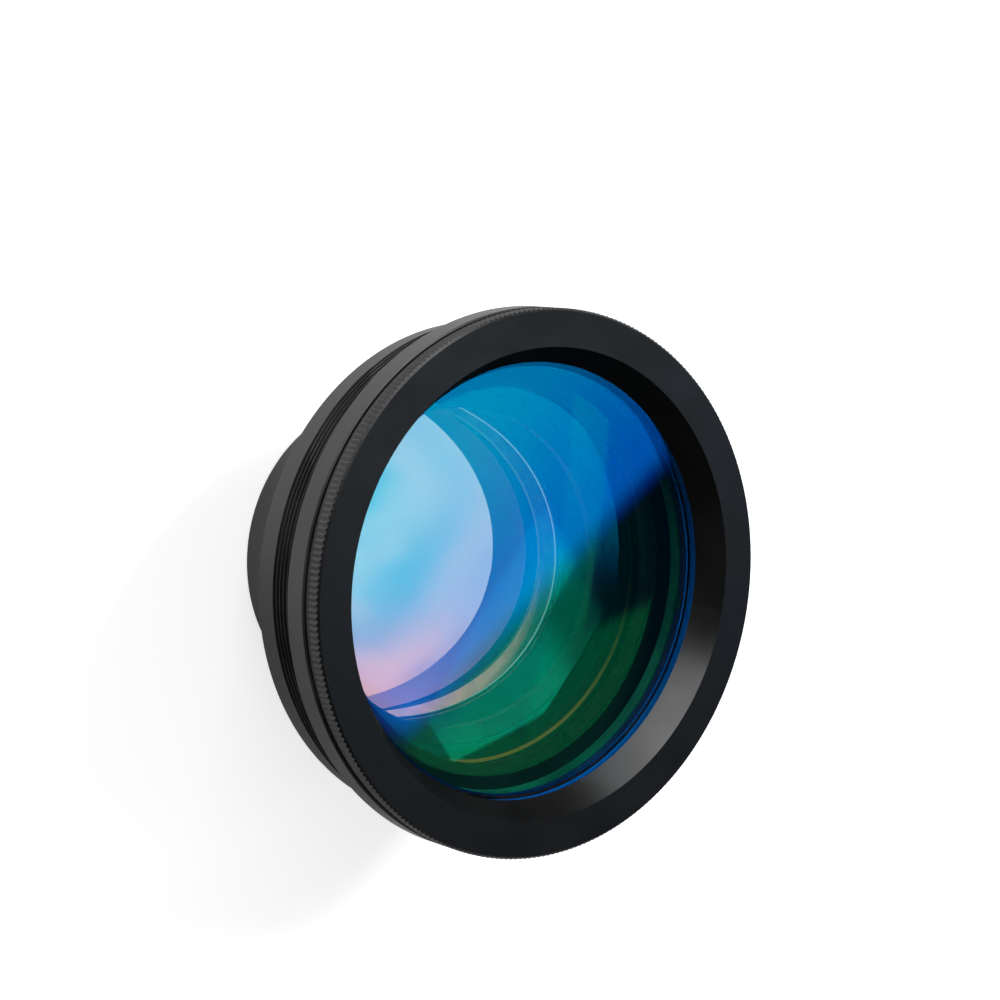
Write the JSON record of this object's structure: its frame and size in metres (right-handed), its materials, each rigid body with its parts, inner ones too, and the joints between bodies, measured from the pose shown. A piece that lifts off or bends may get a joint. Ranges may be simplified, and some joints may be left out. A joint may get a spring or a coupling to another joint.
{
  "type": "f theta scan lens",
  "caption": "Round scan lens with a stepped metal barrel, a male mounting thread behind a flange, lens elements on threaded rings and a window in a knurled holder.",
  "frame": {"origin": "centre of the bounding box's base, on the optical axis at the scanner side end face", "axes": "+Z along the optical axis towards the window side; X and Y across it, with the spanner slots of the window ring along X"},
  "size_m": [0.09, 0.09, 0.05],
  "materials": {
    "black_anodised": "satin black anodised",
    "black_matte": "matte black anodised",
    "seal_rubber": "matte",
    "window_glass": "polished, blue anti-reflection coating",
    "lens_glass": "polished, green anti-reflection coating"
  },
  "bodies": {
    "root": {"barrel": "black_anodised", "window_holder": "black_anodised", "holder_seal": "seal_rubber", "protective_window": "window_glass", "window_gasket": "seal_rubber", "window_ring": "black_matte", "front_lens_ring": "black_matte", "front_lens": "lens_glass", "third_lens_ring": "black_matte", "third_lens": "lens_glass", "second_lens_ring": "black_matte", "second_lens": "lens_glass", "entrance_lens": "lens_glass", "entrance_seal": "seal_rubber", "entrance_ring": "black_matte"}
  },
  "joints": []
}
